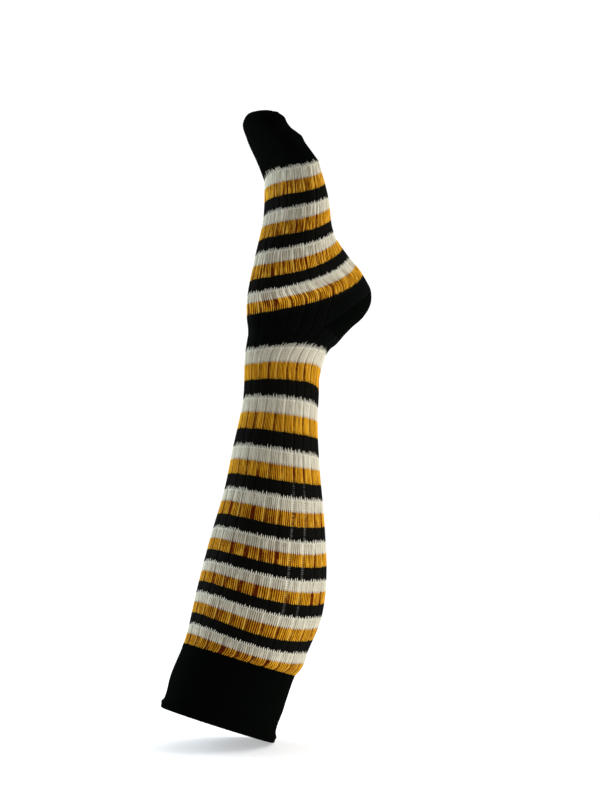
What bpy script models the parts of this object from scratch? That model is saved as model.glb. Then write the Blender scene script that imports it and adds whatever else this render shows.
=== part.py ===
"""Knee-high sock in its worn shape, toe up: ribbed bands of black, mustard and white, and a plain black
heel, toe and cuff.

The shin and instep face -X, the calf, heel and sole face +X, and the big toe is on the +Y side.
The origin is the middle of the cuff's mouth.
"""

from collections import namedtuple
from functools import partial

import bmesh
import bpy
import numpy as np

MM = 0.001

# Cloth
WALL = 1.8 * MM
CUFF_WALL = 2.6 * MM
RIB_RISE = 0.9 * MM
SEAM_GAP = 0.3 * MM

# Knit, in courses: both the leg and the foot are counted from the heel
BLACK = 8
WHITE = 6
MUSTARD = 7
REPEAT = BLACK + WHITE + MUSTARD
LEG_REPEATS = 8
FOOT_REPEATS = 4
LEG_END = LEG_REPEATS * REPEAT
FOOT_END = FOOT_REPEATS * REPEAT
HEM_HEIGHT = 62

# Points round a ring, as shares of its girth: 0 is the front, 0.25 the near side, 0.5 the back
RIBS = 24
RIB_PROFILE = ((0.0, 0.0), (0.2, 0.9), (0.5, 1.0), (0.8, 0.9))
NEAR_SIDE = 0.25
FAR_SIDE = 0.75

# Points of each piece. The toe's rows are spaced in millimetres, and the heel starts a share of a rib
# behind the ankle's sides
SOLE_POINTS = 24
TOE_POINTS = 48
TOE_SPACING = 6.5
HEEL_ROWS = 12
HEEL_START = 0.12
CUFF_POINTS = 64
CUFF_ROWS = 6
FOLD_STEPS = 5

# Courses left open on each side of a seam
COURSE_GAP = 0.1

# Points along half a ring where its girth is measured, and the step that gives the outward directions
DENSE = 240
STEP = 1e-3
LEAST_LENGTH = 1e-15
SHARP_EDGE = 50

# Each ring of cloth, in millimetres and degrees: its middle in side view, its size front to back,
# its width, how far it tips up at its back, how far its sides stand above the line from front to back,
# where the sides are on that line (0 front, 1 back), how full its back is, and how far its far side is up
Ring = namedtuple("Ring", "at x z depth width tilt bow side full skew")

LEG_RINGS = (
    Ring(8, 65, 330.5, 75, 58, -1, 3.5, 0.56, 0.08, 0),
    Ring(29, 60, 284.5, 68, 62, -6.5, 1, 0.5, 0, 0),
    Ring(50, 55.5, 239.8, 77.5, 74, -7.7, -1.5, 0.5, 0, 0),
    Ring(71, 53, 201, 88, 88, -7, -4, 0.5, 0, 0),
    Ring(92, 49, 165.8, 101, 99, -7, -6, 0.5, 0, 0),
    Ring(113, 45, 133.5, 111, 104, -9, -6.5, 0.5, 0, 0),
    Ring(134, 39, 103.5, 114.5, 105, -11.5, -7.5, 0.5, 0, 0),
    Ring(155, 28.7, 74, 108, 102, -14, -7, 0.5, 0, 0),
    Ring(165.5, 22.7, 58.7, 105, 99, -16.5, -3, 0.5, 0, 0),
    Ring(LEG_END, 19.8, 54.8, 102.5, 96, -17.8, 0, 0.5, 0, 0),
)
FOOT_RINGS = (
    Ring(8, 83.2, 387, 119, 62, 22.3, -10, 0.6, 0.3, 0),
    Ring(21, 76.8, 403.5, 103.5, 66, 23.5, -9, 0.57, 0.25, 0),
    Ring(42, 72.5, 433.6, 74, 72, 21, -6.5, 0.54, 0.15, 0),
    Ring(63, 73.3, 468.3, 54.5, 80, 21, -5.5, 0.54, 0.15, 0),
    Ring(FOOT_END, 68.8, 503, 38.5, 82, 19.5, -5.5, 0.54, 0.15, 0),
)
# At is millimetres from the cuff's upper edge
CUFF_RINGS = (
    LEG_RINGS[-1]._replace(at=0),
    Ring(30, 8.6, 27.5, 105.5, 92, -18.8, -1, 0.5, 0, 0),
    Ring(58, 0.5, 3, 106.5, 90, -19.4, 0, 0.5, 0, 0),
    Ring(HEM_HEIGHT, -0.5, -0.6, 109.5, 92, -19.5, 0, 0.5, 0, 0),
)
# At is millimetres from the foot's last ring
TOE_RINGS = (
    FOOT_RINGS[-1]._replace(at=0),
    Ring(17, 58.8, 519, 35.5, 80, 18, -4, 0.53, 0.15, 3),
    Ring(34, 49.5, 534, 35.5, 76, 12, -3, 0.52, 0.1, 6),
    Ring(46, 43.5, 545, 30, 69, 4, -2, 0.5, 0.1, 8),
    Ring(53, 44.5, 552, 20, 60, -5, -1, 0.5, 0.1, 6.5),
    Ring(56, 45, 554, 10, 52, -6, 0, 0.5, 0, 5.5),
)

# Ankle, in side view and millimetres: the ring that leg, foot and heel share, and the heel's outline
ANKLE_FRONT = (30, 347)
ANKLE_SIDE = (88, 353.6)
ANKLE_WIDTH = 62
HEEL_OUTLINE = ((114, 342.5), (128.5, 357), (141.5, 368.5), (149, 380.5), (150.5, 395))
HEEL_FULLNESS = (0.1, 0.4)

COLOURS = {
    "black": (0.012, 0.012, 0.011, 1),
    "mustard": (0.45, 0.2, 0.012, 1),
    "white": (0.62, 0.6, 0.5, 1),
}
CLOTH_ROUGHNESS = 0.9


def clear_scene():
    for old in list(bpy.data.objects):
        bpy.data.objects.remove(old, do_unlink=True)


def cloth_material(node, colour):
    made = bpy.data.materials.new(f"{node}_{colour}")
    made.use_nodes = True
    shader = made.node_tree.nodes["Principled BSDF"]
    shader.inputs["Base Color"].default_value = COLOURS[colour]
    shader.inputs["Roughness"].default_value = CLOTH_ROUGHNESS
    shader.inputs["Metallic"].default_value = 0
    made.diffuse_color = COLOURS[colour]
    return made


def band_colour(course, first_after_black):
    """Colour of the band that holds a course."""
    second = "mustard" if first_after_black == "white" else "white"
    into = course % REPEAT
    if into < BLACK:
        return "black"
    first_courses = WHITE if first_after_black == "white" else MUSTARD
    return first_after_black if into < BLACK + first_courses else second


def band_edges(end, first_courses):
    """Courses of a piece's rings: the middle of its first band, and where one band meets the next."""
    starts = range(0, end, REPEAT)
    edges = [start + step for start in starts for step in (0, BLACK, BLACK + first_courses)]
    return [COURSE_GAP, BLACK / 2, *edges[1:], end - COURSE_GAP]


def frame_of(ring):
    """Front, side and back points of a ring in side view, and the directions in which it leaves its sides."""
    lean = np.radians(ring.tilt)
    along = np.array([np.cos(lean), np.sin(lean)])
    up = np.array([-along[1], along[0]])
    middle = np.array([ring.x, ring.z])
    front = middle - along * ring.depth / 2
    back = middle + along * ring.depth / 2
    side = front + along * ring.depth * ring.side + up * ring.bow
    pull = (front - back) / 2
    return np.array([*front, *side, *back, *pull, *pull, ring.width / 2, ring.full, ring.skew])


def fan_frame(back, full):
    """The same for a ring that turns at the ankle's sides, on its way to a point of the heel."""
    front, side, back = np.array(ANKLE_FRONT), np.array(ANKLE_SIDE), np.array(back)
    pulls = (*(front - side), *(side - back))
    return np.array([*front, *side, *back, *pulls, ANKLE_WIDTH / 2, full, 0])


def between(knots, values, at):
    """Values on a smooth curve through the knots."""
    knots = np.asarray(knots, float)
    values = np.asarray(values, float)
    slopes = np.gradient(values, knots, axis=0)
    first = np.clip(np.searchsorted(knots, at, side="right") - 1, 0, len(knots) - 2)
    span = knots[first + 1] - knots[first]
    t = (at - knots[first]) / span
    keep = 2 * t**3 - 3 * t**2 + 1
    return (
        keep * values[first]
        + (1 - keep) * values[first + 1]
        + (t**3 - 2 * t**2 + t) * span * slopes[first]
        + (t**3 - t**2) * span * slopes[first + 1]
    )


def ring_curve(frame, angles):
    """Points of a ring, in metres, at angles from its front."""
    front, side, back, front_pull, back_pull = frame[:10].reshape(5, 2)
    half_width, full, skew = frame[10:]
    across = np.sin(angles)
    along = np.cos(angles)
    ahead = (along >= 0)[:, None]
    end = np.where(ahead, front - front_pull, back + back_pull)
    pull = np.where(ahead, front_pull, back_pull)
    flat = side + pull * along[:, None] + (end - side) * along[:, None] ** 2
    round_back = np.where(along < 0, 1 + full * along**2, 1)
    width = -half_width * across * round_back
    height = flat[:, 1] - skew * across
    return np.stack([flat[:, 0], width, height], axis=1) * MM


def on_ring(frame, shares):
    """Points of a ring at shares of its girth, spaced evenly along its front and along its back."""
    dense = np.linspace(-np.pi / 2, 3 * np.pi / 2, 2 * DENSE + 1)
    steps = np.linalg.norm(np.diff(ring_curve(frame, dense), axis=0), axis=1)
    halves = steps.reshape(2, DENSE)
    even_steps = halves / halves.sum(axis=1, keepdims=True) / 2
    girth = np.concatenate([[0], np.cumsum(even_steps)]) - NEAR_SIDE
    wrapped = (np.asarray(shares) + NEAR_SIDE) % 1 - NEAR_SIDE
    return ring_curve(frame, np.interp(wrapped, girth, dense))


def loft(knots, frames):
    """A surface through rings, as a function that gives a row of points for each place along it."""

    def surface(places, shares):
        return np.array([on_ring(between(knots, frames, at), shares) for at in places])

    return surface


def normals(surface, places, shares):
    """Outward directions of a surface on the same grid."""
    places, shares = np.asarray(places, float), np.asarray(shares, float)
    round_it = surface(places, shares + STEP) - surface(places, shares - STEP)
    along_it = surface(places + STEP, shares) - surface(places - STEP, shares)
    out = np.cross(round_it, along_it)
    grid = surface(places, shares)
    if np.sum(out * (grid - grid.mean(axis=1, keepdims=True))) < 0:
        out = -out
    return out / np.maximum(np.linalg.norm(out, axis=2, keepdims=True), LEAST_LENGTH)


def ribbed_shares(first_rib, last_rib):
    """Shares and rises of the points of these ribs, groove by groove."""
    shares = [(rib + share) / RIBS for rib in range(first_rib, last_rib) for share, _ in RIB_PROFILE]
    rises = [rise for _ in range(first_rib, last_rib) for _, rise in RIB_PROFILE]
    return np.array(shares), np.array(rises)


def even_shares(first, last, count):
    return first + (last - first) * np.arange(count) / count


def mesh_object(name, points, faces, face_slots, colours):
    """One closed body from points and faces, with a cloth material for each colour."""
    shape = bmesh.new()
    corners = [shape.verts.new(point) for point in points]
    for face, slot in zip(faces, face_slots):
        shape.faces.new([corners[i] for i in face]).material_index = slot
    bmesh.ops.recalc_face_normals(shape, faces=shape.faces)
    mesh = bpy.data.meshes.new(name)
    shape.to_mesh(mesh)
    shape.free()
    for colour in colours:
        mesh.materials.append(cloth_material(name, colour))
    mesh.shade_smooth()
    mesh.set_sharp_from_angle(angle=np.radians(SHARP_EDGE))
    made = bpy.data.objects.new(name, mesh)
    bpy.context.scene.collection.objects.link(made)
    return made


class Body:
    """Points and faces of one body, gathered grid by grid."""

    def __init__(self):
        self.points = []
        self.faces = []
        self.slots = []

    def add_grid(self, grid):
        """Adds a grid of points and returns their indices in its shape."""
        first = len(self.points)
        self.points.extend(grid.reshape(-1, 3))
        return np.arange(first, len(self.points)).reshape(grid.shape[:2])

    def add_face(self, corners, slot):
        self.faces.append([int(corner) for corner in corners])
        self.slots.append(slot)

    def skin(self, grid, closed, slot_of_row):
        """Faces between the rows of a grid, all round where it is closed."""
        columns = grid.shape[1]
        for row in range(len(grid) - 1):
            for column in range(columns if closed else columns - 1):
                after = (column + 1) % columns
                low, high = grid[row], grid[row + 1]
                self.add_face((low[column], low[after], high[after], high[column]), slot_of_row(row))

    def rim(self, outer, inner, outer_at, inner_at, closed, slot):
        """Faces across the wall between an outer and an inner line. Each inner point faces an outer one."""
        meets = [int(np.argmin(np.abs(np.asarray(outer_at) - at))) for at in inner_at]
        count = len(inner)
        for k in range(count if closed else count - 1):
            after = (k + 1) % count
            last = meets[after] if after else len(outer)
            for i in range(meets[k], last):
                self.add_face([outer[i], outer[(i + 1) % len(outer)], inner[k]], slot)
            self.add_face([outer[last % len(outer)], inner[after], inner[k]], slot)

    def cap(self, ring, slot):
        """Closes a flattened ring by a row of faces from its front to its back."""
        count = len(ring)
        quarter = count // 4
        for k in range(-quarter, quarter):
            partner = count // 2 - k
            corners = [ring[i % count] for i in (k, k + 1, partner - 1, partner)]
            self.add_face(list(dict.fromkeys(corners)), slot)


def offset_grid(surface, places, shares, offsets, seams=(None, None)):
    """A grid on a surface, moved out by an offset for each column, in the seam's directions at a seam."""
    out = normals(surface, places, shares)
    for row, seam in zip((0, -1), seams):
        if seam:
            out[row] = seam(shares)
    return surface(places, shares) + out * np.asarray(offsets)[None, :, None]


def seam_between(first, first_at, second, second_at):
    """Outward directions along the seam of two surfaces, halfway between theirs."""

    def directions(shares):
        out = normals(first, [first_at], shares)[0] + normals(second, [second_at], shares)[0]
        return out / np.linalg.norm(out, axis=1, keepdims=True)

    return directions


def front_and_back(front, back):
    """Outward directions along a ring that has one seam at its front and another at its back."""

    def directions(shares):
        is_back = (np.asarray(shares) - NEAR_SIDE) % 1 < FAR_SIDE - NEAR_SIDE
        return np.where(is_back[:, None], back(shares), front(shares))

    return directions


def cloth_tube(name, surface, places, inner_every, shares, rises, inner_shares, seams, bands=None):
    """A tube of cloth, ribbed outside and plain inside, closed at its last place if it has no seam there."""
    colours = ("black", "mustard", "white") if bands else ("black",)
    inner_places = [*places[:-1:inner_every], places[-1]]
    body = Body()
    outer = body.add_grid(offset_grid(surface, places, shares, rises * RIB_RISE, seams))
    inward = np.full(len(inner_shares), -WALL)
    inner = body.add_grid(offset_grid(surface, inner_places, inner_shares, inward, seams))

    def slot_at(course):
        return colours.index(bands(course)) if bands else 0

    body.skin(outer, True, lambda row: slot_at((places[row] + places[row + 1]) / 2))
    body.skin(inner, True, lambda row: slot_at((inner_places[row] + inner_places[row + 1]) / 2))
    body.rim(outer[0], inner[0], shares, inner_shares, True, slot_at(places[0]))
    if seams[-1]:
        body.rim(outer[-1], inner[-1], shares, inner_shares, True, slot_at(places[-1] - 1))
    else:
        body.cap(outer[-1], 0)
        body.cap(inner[-1], 0)
    return mesh_object(name, body.points, body.faces, body.slots, colours)


def heel_knots():
    """Millimetres along the heel's outline, from its edge at the leg."""
    return np.concatenate([[0], np.cumsum(np.linalg.norm(np.diff(HEEL_OUTLINE, axis=0), axis=1))])


def surface_through(rings, ankle_frame=None):
    """A surface through a table of rings, which starts at the ankle where that is given."""
    knots = [ring.at for ring in rings]
    frames = [frame_of(ring) for ring in rings]
    return loft([0, *knots], [ankle_frame, *frames]) if ankle_frame is not None else loft(knots, frames)


def sock_surfaces():
    """The inner line of the ribs as one surface for each piece."""
    knots = heel_knots()
    fullness = np.interp(knots, (0, knots[-1]), HEEL_FULLNESS)
    fan = [fan_frame(*row) for row in zip(HEEL_OUTLINE, fullness)]
    return {
        "cuff": surface_through(CUFF_RINGS),
        "leg": surface_through(LEG_RINGS, fan[0]),
        "heel": loft(knots, fan),
        "foot": surface_through(FOOT_RINGS, fan[-1]),
        "toe": surface_through(TOE_RINGS),
    }


def sock_seams(surfaces):
    """Outward directions along each seam, so that the pieces on its two sides lie face to face."""
    cuff, leg, heel, foot, toe = surfaces.values()
    instep = seam_between(leg, 0, foot, 0)
    return {
        "cuff": seam_between(leg, LEG_END, cuff, 0),
        "heel_leg": seam_between(leg, 0, heel, 0),
        "heel_foot": seam_between(heel, heel_knots()[-1], foot, 0),
        "ankle_leg": front_and_back(instep, seam_between(leg, 0, heel, 0)),
        "ankle_foot": front_and_back(instep, seam_between(heel, heel_knots()[-1], foot, 0)),
        "toe": seam_between(foot, FOOT_END, toe, 0),
    }


def build_leg(surface, seams):
    """The ribbed leg, from the heel's lower edge to the cuff."""
    places = band_edges(LEG_END, WHITE)
    shares, rises = ribbed_shares(0, RIBS)
    ends = (seams["ankle_leg"], seams["cuff"])
    bands = partial(band_colour, first_after_black="white")
    return cloth_tube("leg", surface, places, 2, shares, rises, shares[::2], ends, bands)


def build_foot(surface, seams):
    """The foot, from the heel's upper edge to the toe: ribbed over the instep and plain under the sole."""
    places = band_edges(FOOT_END, MUSTARD)
    instep, rises = ribbed_shares(-RIBS // 4, RIBS // 4)
    sole = even_shares(NEAR_SIDE, FAR_SIDE, SOLE_POINTS)
    shares = np.concatenate([instep, sole])
    inner_shares = np.concatenate([instep[::2], sole])
    rises = np.concatenate([rises, np.zeros(SOLE_POINTS)])
    ends = (seams["ankle_foot"], seams["toe"])
    bands = partial(band_colour, first_after_black="mustard")
    return cloth_tube("foot", surface, places, 1, shares, rises, inner_shares, ends, bands)


def build_toe(surface, seams):
    """The plain toe cap, closed by a seam across its end."""
    last = TOE_RINGS[-1].at
    places = [SEAM_GAP / 2 / MM, *np.arange(TOE_SPACING, last, TOE_SPACING), last]
    shares = even_shares(0, 1, TOE_POINTS)
    ends = (seams["toe"], None)
    return cloth_tube("toe", surface, places, 1, shares, np.zeros(TOE_POINTS), shares[::2], ends)


def build_heel(surface, seams):
    """The plain heel pocket, a fan of half rings from side to side of the ankle."""
    gap = SEAM_GAP / 2 / MM
    places = np.linspace(gap, heel_knots()[-1] - gap, HEEL_ROWS)
    shares = np.linspace(NEAR_SIDE, FAR_SIDE, SOLE_POINTS + 1)
    shares[0] += HEEL_START / RIBS
    shares[-1] -= HEEL_START / RIBS
    ends = (seams["heel_leg"], seams["heel_foot"])
    body = Body()
    outer = body.add_grid(offset_grid(surface, places, shares, np.zeros(len(shares)), ends))
    inner = body.add_grid(offset_grid(surface, places, shares, np.full(len(shares), -WALL), ends))
    body.skin(outer, False, lambda row: 0)
    body.skin(inner, False, lambda row: 0)
    for edge in (0, -1):
        body.rim(outer[edge], inner[edge], shares, shares, False, 0)
        body.rim(outer[:, edge], inner[:, edge], places, places, False, 0)
    return mesh_object("heel", body.points, body.faces, body.slots, ("black",))


def build_cuff(surface, seams):
    """The plain cuff: cloth turned under at a round fold, and open for the leg."""
    radius = CUFF_WALL / 2
    straight = np.linspace(SEAM_GAP / MM, HEM_HEIGHT - radius / MM, CUFF_ROWS)
    down = [(place, 0) for place in straight[:-1]]
    turns = np.linspace(0, np.pi, FOLD_STEPS)
    round_fold = [(straight[-1] + radius / MM * np.sin(turn), radius * (np.cos(turn) - 1)) for turn in turns]
    up = [(place, -CUFF_WALL) for place in straight[-2::-1]]
    shares = even_shares(0, 1, CUFF_POINTS)
    rows = []
    for place, out in (*down, *round_fold, *up):
        seam = seams["cuff"] if place == straight[0] else None
        rows.append(offset_grid(surface, [place], shares, np.full(CUFF_POINTS, out), (seam, None))[0])
    body = Body()
    grid = body.add_grid(np.array(rows))
    body.skin(np.vstack([grid, grid[:1]]), True, lambda row: 0)
    return mesh_object("cuff", body.points, body.faces, body.slots, ("black",))


def main():
    clear_scene()
    surfaces = sock_surfaces()
    seams = sock_seams(surfaces)
    build_cuff(surfaces["cuff"], seams)
    build_leg(surfaces["leg"], seams)
    build_heel(surfaces["heel"], seams)
    build_foot(surfaces["foot"], seams)
    build_toe(surfaces["toe"], seams)


if __name__ == "__main__":
    main()
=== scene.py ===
import math
from collections import namedtuple
from types import SimpleNamespace

import bmesh
import bpy
import numpy as np
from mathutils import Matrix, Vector


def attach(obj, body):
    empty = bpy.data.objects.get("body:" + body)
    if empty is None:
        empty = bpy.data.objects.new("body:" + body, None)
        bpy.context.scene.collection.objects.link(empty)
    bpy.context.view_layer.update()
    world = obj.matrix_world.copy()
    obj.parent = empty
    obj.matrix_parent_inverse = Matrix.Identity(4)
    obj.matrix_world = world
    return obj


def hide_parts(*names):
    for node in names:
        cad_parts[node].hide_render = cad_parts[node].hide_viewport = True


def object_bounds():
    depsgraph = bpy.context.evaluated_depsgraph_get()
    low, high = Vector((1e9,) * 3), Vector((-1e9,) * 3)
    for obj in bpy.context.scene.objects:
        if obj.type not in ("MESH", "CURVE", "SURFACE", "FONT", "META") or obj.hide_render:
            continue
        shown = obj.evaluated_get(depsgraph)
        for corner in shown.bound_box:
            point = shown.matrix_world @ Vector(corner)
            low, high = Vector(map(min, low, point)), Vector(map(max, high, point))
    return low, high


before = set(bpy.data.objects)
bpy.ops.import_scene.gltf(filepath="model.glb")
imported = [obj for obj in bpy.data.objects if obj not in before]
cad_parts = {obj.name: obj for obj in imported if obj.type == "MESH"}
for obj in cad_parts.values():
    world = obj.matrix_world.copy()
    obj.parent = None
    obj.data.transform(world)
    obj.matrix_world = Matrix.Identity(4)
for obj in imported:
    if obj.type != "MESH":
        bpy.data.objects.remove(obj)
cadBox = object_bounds()
print("frame loaded:", ", ".join(sorted(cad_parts)))

mm = 0.001

# Courses are rows of stitches and wales are columns. The leg and the foot both count their courses
# from the heel, the leg's below zero
knit = {
    "mustardCourses": 7,
    "whiteCourses": 6,
    "blackCourses": 8,
    "ribs": 24,
    "walesInRib": 7,  # six knit wales and one purl wale, which makes the groove
    "columnsInWale": 3,
    "rowsInCourse": 2,
    "legRepeats": 8,
    "footRepeats": 4,
    "ribRise": 0.8 * mm,
    "ribCrown": 0.12,  # share of that rise that only a rib's middle has
    "grooveWidth": 0.62,  # in wales
    "plainRise": 0.35 * mm,
    "waleRise": 0.3 * mm,
    "stitchRise": 0.14 * mm,
    "ladderRise": 0.22 * mm,
    "stitchSlope": 0.55,  # how far a stitch's arms reach up beside its foot, in courses for one wale
    "wander": 0.45,  # how far the wales stray from straight lines, in wales
    "longWave": 0.045,  # the two waves in which they stray, in radians for a course
    "shortWave": 0.11,
    "shortShare": 0.6,
    "straightWales": 6,  # where they run straight, at the ankle's sides
    "straightCourses": 10,
    "wall": 1.6 * mm,
    "innerEvery": 6,  # columns of the outer side for one of the inner side
}
repeat = knit["mustardCourses"] + knit["whiteCourses"] + knit["blackCourses"]
wales = knit["ribs"] * knit["walesInRib"]
legEnd = knit["legRepeats"] * repeat
footEnd = knit["footRepeats"] * repeat
every = knit["innerEvery"]


# Surfaces through rings of cloth

# A ring in millimetres and degrees: its middle in side view, its size front to back, its width, how far
# it tips up at its back, how far its sides stand above the line from front to back, where its sides are
# on that line, how full its back is, and how far its far side is up
Ring = namedtuple("Ring", "at x z depth width tilt bow side full skew")


def frameOf(ring):
    lean = math.radians(ring.tilt)
    along = np.array([math.cos(lean), math.sin(lean)])
    up = np.array([-along[1], along[0]])
    middle = np.array([ring.x, ring.z])
    front = middle - along * ring.depth / 2
    back = middle + along * ring.depth / 2
    side = front + along * ring.depth * ring.side + up * ring.bow
    pull = (front - back) / 2
    return np.array([*front, *side, *back, *pull, *pull, ring.width / 2, ring.full, ring.skew])


# Smooth curve through the knots, for a row of places
def between(knots, values, places):
    knots = np.asarray(knots, float)
    values = np.asarray(values, float)
    places = np.asarray(places, float)
    slopes = np.gradient(values, knots, axis=0)
    first = np.clip(np.searchsorted(knots, places, side="right") - 1, 0, len(knots) - 2)
    span = knots[first + 1] - knots[first]
    t = ((places - knots[first]) / span)[:, None]
    keep = 2 * t**3 - 3 * t**2 + 1
    bend = (t**3 - 2 * t**2 + t) * slopes[first] + (t**3 - t**2) * slopes[first + 1]
    return keep * values[first] + (1 - keep) * values[first + 1] + bend * span[:, None]


# Points of rings in metres. Each row has its own frame, and its own angles from the front
def ringPoints(frames, angles):
    columns = frames.T[:, :, None]
    frontX, frontZ, sideX, sideZ, backX, backZ = columns[:6]
    pullX, pullZ, farX, farZ, half, full, skew = columns[6:]
    across = np.sin(angles)
    along = np.cos(angles)
    ahead = along >= 0
    endX = np.where(ahead, frontX - pullX, backX + farX)
    endZ = np.where(ahead, frontZ - pullZ, backZ + farZ)
    x = sideX + np.where(ahead, pullX, farX) * along + (endX - sideX) * along**2
    z = sideZ + np.where(ahead, pullZ, farZ) * along + (endZ - sideZ) * along**2
    width = -half * across * np.where(ahead, 1, 1 + full * along**2)
    return np.stack([x, width, z - skew * across], axis=-1) * mm


# Angles at shares of the girth, even along the front half and along the back half
def ringAngles(frames, shares, halfSteps=240):
    dense = np.linspace(-math.pi / 2, 3 * math.pi / 2, 2 * halfSteps + 1)
    curves = ringPoints(frames, np.tile(dense, (len(frames), 1)))
    steps = np.linalg.norm(np.diff(curves, axis=1), axis=2).reshape(len(frames), 2, halfSteps)
    even = (steps / steps.sum(axis=2, keepdims=True) / 2).reshape(len(frames), -1)
    girths = np.hstack([np.zeros((len(frames), 1)), np.cumsum(even, axis=1)]) - 0.25
    wrapped = (shares + 0.25) % 1 - 0.25
    return np.array([np.interp(wrapped[row], girth, dense) for row, girth in enumerate(girths)])


def surfaceAt(surface, places, shares):
    frames = between(*surface, places)
    return ringPoints(frames, ringAngles(frames, shares))


# Points of a surface with its outward directions and its slope along the wales, for one course or millimetre
def clothGrid(surface, places, shares, step=1e-3):
    points = surfaceAt(surface, places, shares)
    around = surfaceAt(surface, places, shares + step) - surfaceAt(surface, places, shares - step)
    rise = surfaceAt(surface, places + step, shares) - surfaceAt(surface, places - step, shares)
    along = rise / step / 2
    out = np.cross(around, along)
    if np.sum(out * (points - points.mean(axis=1, keepdims=True))) < 0:
        out = -out
    length = np.linalg.norm(out, axis=2, keepdims=True)
    return {"points": points, "out": out / np.maximum(length, 1e-15), "along": along}


def smooth(low, high, value):
    t = np.clip((value - low) / (high - low), 0, 1)
    return t * t * (3 - 2 * t)


# Relief of the knit

# The wales stray a little from straight lines, the same on both sides of a seam
def wander(line, courses):
    turn = line / wales * 2 * math.pi
    longWave = np.sin(courses * knit["longWave"] + 2 * turn)
    shortWave = np.sin(courses * knit["shortWave"] + 5 * turn + 1)
    stray = (longWave + knit["shortShare"] * shortWave) / (1 + knit["shortShare"])
    fromSide = np.abs(line % (wales / 2) - wales / 4)
    held = np.exp(-((fromSide / knit["straightWales"]) ** 2) - (courses / knit["straightCourses"]) ** 2)
    return stray * (1 - held) * knit["wander"]


# Height of the cloth above its base: ribs with a purl groove between them, or plain knit, stitch by stitch
def clothRelief(line, courses, ribbing):
    halfRib = knit["walesInRib"] / 2
    inRib = np.abs((line + halfRib) % knit["walesInRib"] - halfRib)
    inWale = line - np.round(line)
    groove = np.exp(-((inRib / knit["grooveWidth"]) ** 2))
    crown = 1 - knit["ribCrown"] + knit["ribCrown"] * inRib / halfRib
    ridge = np.cos(math.pi * inWale) ** 2
    stitch = 0.5 - 0.5 * np.cos(2 * math.pi * courses)
    loops = ridge * (knit["waleRise"] + knit["stitchRise"] * stitch)
    ribbed = (1 - groove) * (knit["ribRise"] * crown + loops) + groove * knit["ladderRise"] * stitch
    plain = knit["plainRise"] + loops
    return plain + (ribbed - plain) * ribbing


# Soft troughs and ridges pressed into the worn cloth: course and share of the girth at their middle,
# half length along the girth, half width in courses, depth in millimetres, and courses that they climb
Crease = namedtuple("Crease", "course share long wide deep climb")
creases = (
    Crease(-4, 0.44, 0.1, 2.2, 0.9, 3),
    Crease(-9, 0.53, 0.12, 2.4, 1.1, -2),
    Crease(-15, 0.47, 0.09, 2.6, 0.7, 2),
    Crease(-6, 0.6, 0.08, 2, 0.6, -4),
    Crease(5, 0.02, 0.1, 3, 0.5, 3),
    Crease(12, 0.96, 0.08, 2.6, 0.4, -3),
    Crease(30, 0.6, 0.1, 3, 0.6, 5),
    Crease(38, 0.42, 0.09, 2.6, 0.5, -4),
    Crease(-160, 0.3, 0.07, 2.4, 0.5, 3),
    Crease(-163, 0.66, 0.08, 2.2, 0.6, -2),
    Crease(-157, 0.88, 0.06, 2.6, 0.5, 2),
    Crease(97.4, 0.35, 0.09, 2, -1, 0.5),
    Crease(103.4, 0.36, 0.1, 2.4, 0.8, 1),
    Crease(112, 0.26, 0.1, 2.6, 1.2, 0),
)
creaseLean = 0.6  # how much deeper a crease is on the side of the lower courses


def creaseDepth(line, courses):
    share = line / wales
    depth = np.zeros(np.broadcast(line, courses).shape)
    for crease in creases:
        around = (share - crease.share + 0.5) % 1 - 0.5
        reach = around / crease.long
        across = (courses - crease.course - crease.climb * reach) / crease.wide
        depth += crease.deep * mm * np.exp(-(reach**2) - across**2) * (1 - creaseLean * across)
    return depth


# Moves the points of a grid out by the knit's relief, and zigzags its rows along the stitches' arms.
# Upward is how far a course goes along the grid's own count
def dressGrid(grid, line, courses, ribbing, upward):
    inWale = line - np.round(line)
    row = np.arange(len(line))[:, None]
    fade = np.clip(np.minimum(row, len(line) - 1 - row) / 2, 0, 1)
    lift = knit["stitchSlope"] * (np.abs(inWale) - 0.5 / knit["columnsInWale"]) * fade
    height = clothRelief(line, courses, ribbing) - creaseDepth(line, courses)
    points = grid["points"] + grid["along"] * (upward * lift)[..., None] + grid["out"] * height[..., None]
    return points, courses + lift


# Shells

# The bake's square has a strip for each side of the cloth and for the rim at each end
strips = {
    "outer": (0.004, 0.86),
    "inner": (0.88, 0.95),
    "start": (0.96, 0.975),
    "end": (0.98, 0.995),
}
cuffStrips = {**strips, "outer": (0.004, 0.8), "inner": (0.82, 0.95)}
stripEnds = (0.002, 0.998)


# A shell gathers the points, faces and maps of one piece
def newShell():
    return {"points": [], "count": 0, "faces": [], "knit": [], "bake": [], "ribbing": []}


def addPoints(shell, points, ribbing):
    first = shell["count"]
    flat = points.reshape(-1, 3)
    shell["points"].append(flat)
    shell["ribbing"].append(np.broadcast_to(ribbing, points.shape[:-1]).reshape(-1))
    shell["count"] += len(flat)
    return np.arange(first, shell["count"]).reshape(points.shape[:-1])


def addFaces(shell, corners, knitMap, bakeMap):
    shell["faces"].extend(corners.reshape(-1, corners.shape[-1]).tolist())
    shell["knit"].append(knitMap.reshape(-1, 2))
    shell["bake"].append(bakeMap.reshape(-1, 2))


def closeRound(values, closed, turn=0):
    return np.hstack([values, values[:, :1] + turn]) if closed else values


# The corners of each face between the rows and columns of a grid
def fourCorners(values):
    return np.stack([values[:-1, :-1], values[:-1, 1:], values[1:, 1:], values[1:, :-1]], axis=-1)


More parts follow.
